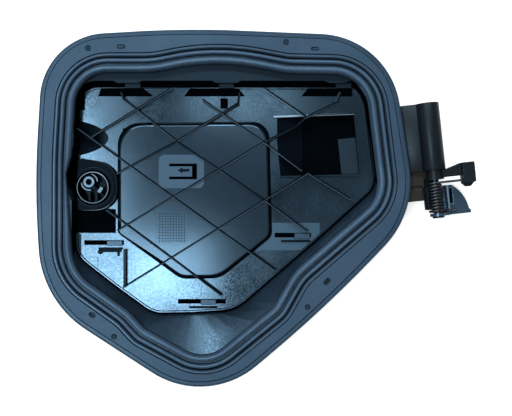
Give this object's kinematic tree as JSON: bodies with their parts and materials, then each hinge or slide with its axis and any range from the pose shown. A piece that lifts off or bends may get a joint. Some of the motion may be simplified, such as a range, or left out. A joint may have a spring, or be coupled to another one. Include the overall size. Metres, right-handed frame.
{
  "type": "charging port flap",
  "caption": "Charging port flap for a car body: rounded tray with a ribbed inner plate, a beaded rim seal, a latch socket and a sprung side hinge.",
  "frame": {"origin": "middle of the overall box in plan, at the level of the outer face that the flap lies on", "axes": "+X toward the hinge, +Y toward the flap's straight upper edge, +Z from the outer face to the inner side"},
  "size_m": [0.221, 0.1794, 0.0215],
  "materials": {
    "panel_plastic": "satin",
    "frame_plastic": "satin",
    "seal_rubber": "satin",
    "carrier_plastic": "grained",
    "latch_plastic": "gloss",
    "receiver_plastic": "gloss",
    "arm_plastic": "satin",
    "pin_steel": "brushed",
    "spring_steel": "satin",
    "bracket_plastic": "gloss"
  },
  "bodies": {
    "hinge_base": {"hinge_bracket": "bracket_plastic"},
    "flap": {"outer_panel": "panel_plastic", "seal_frame": "frame_plastic", "rim_seal": "seal_rubber", "carrier_plate": "carrier_plastic", "latch_housing": "latch_plastic", "latch_receiver": "receiver_plastic", "hinge_arm": "arm_plastic", "hinge_pin": "pin_steel", "torsion_spring": "spring_steel"}
  },
  "joints": [
    {"name": "flap_swing", "type": "hinge", "parent": "hinge_base", "child": "flap", "pos_m": [0.0884, 0.0362, 0.012], "axis": [-0.1045, 0.9945, 0], "range_deg": [0, 100], "stiffness_Nm_per_rad": 0.08, "deforming": ["torsion_spring"]}
  ]
}
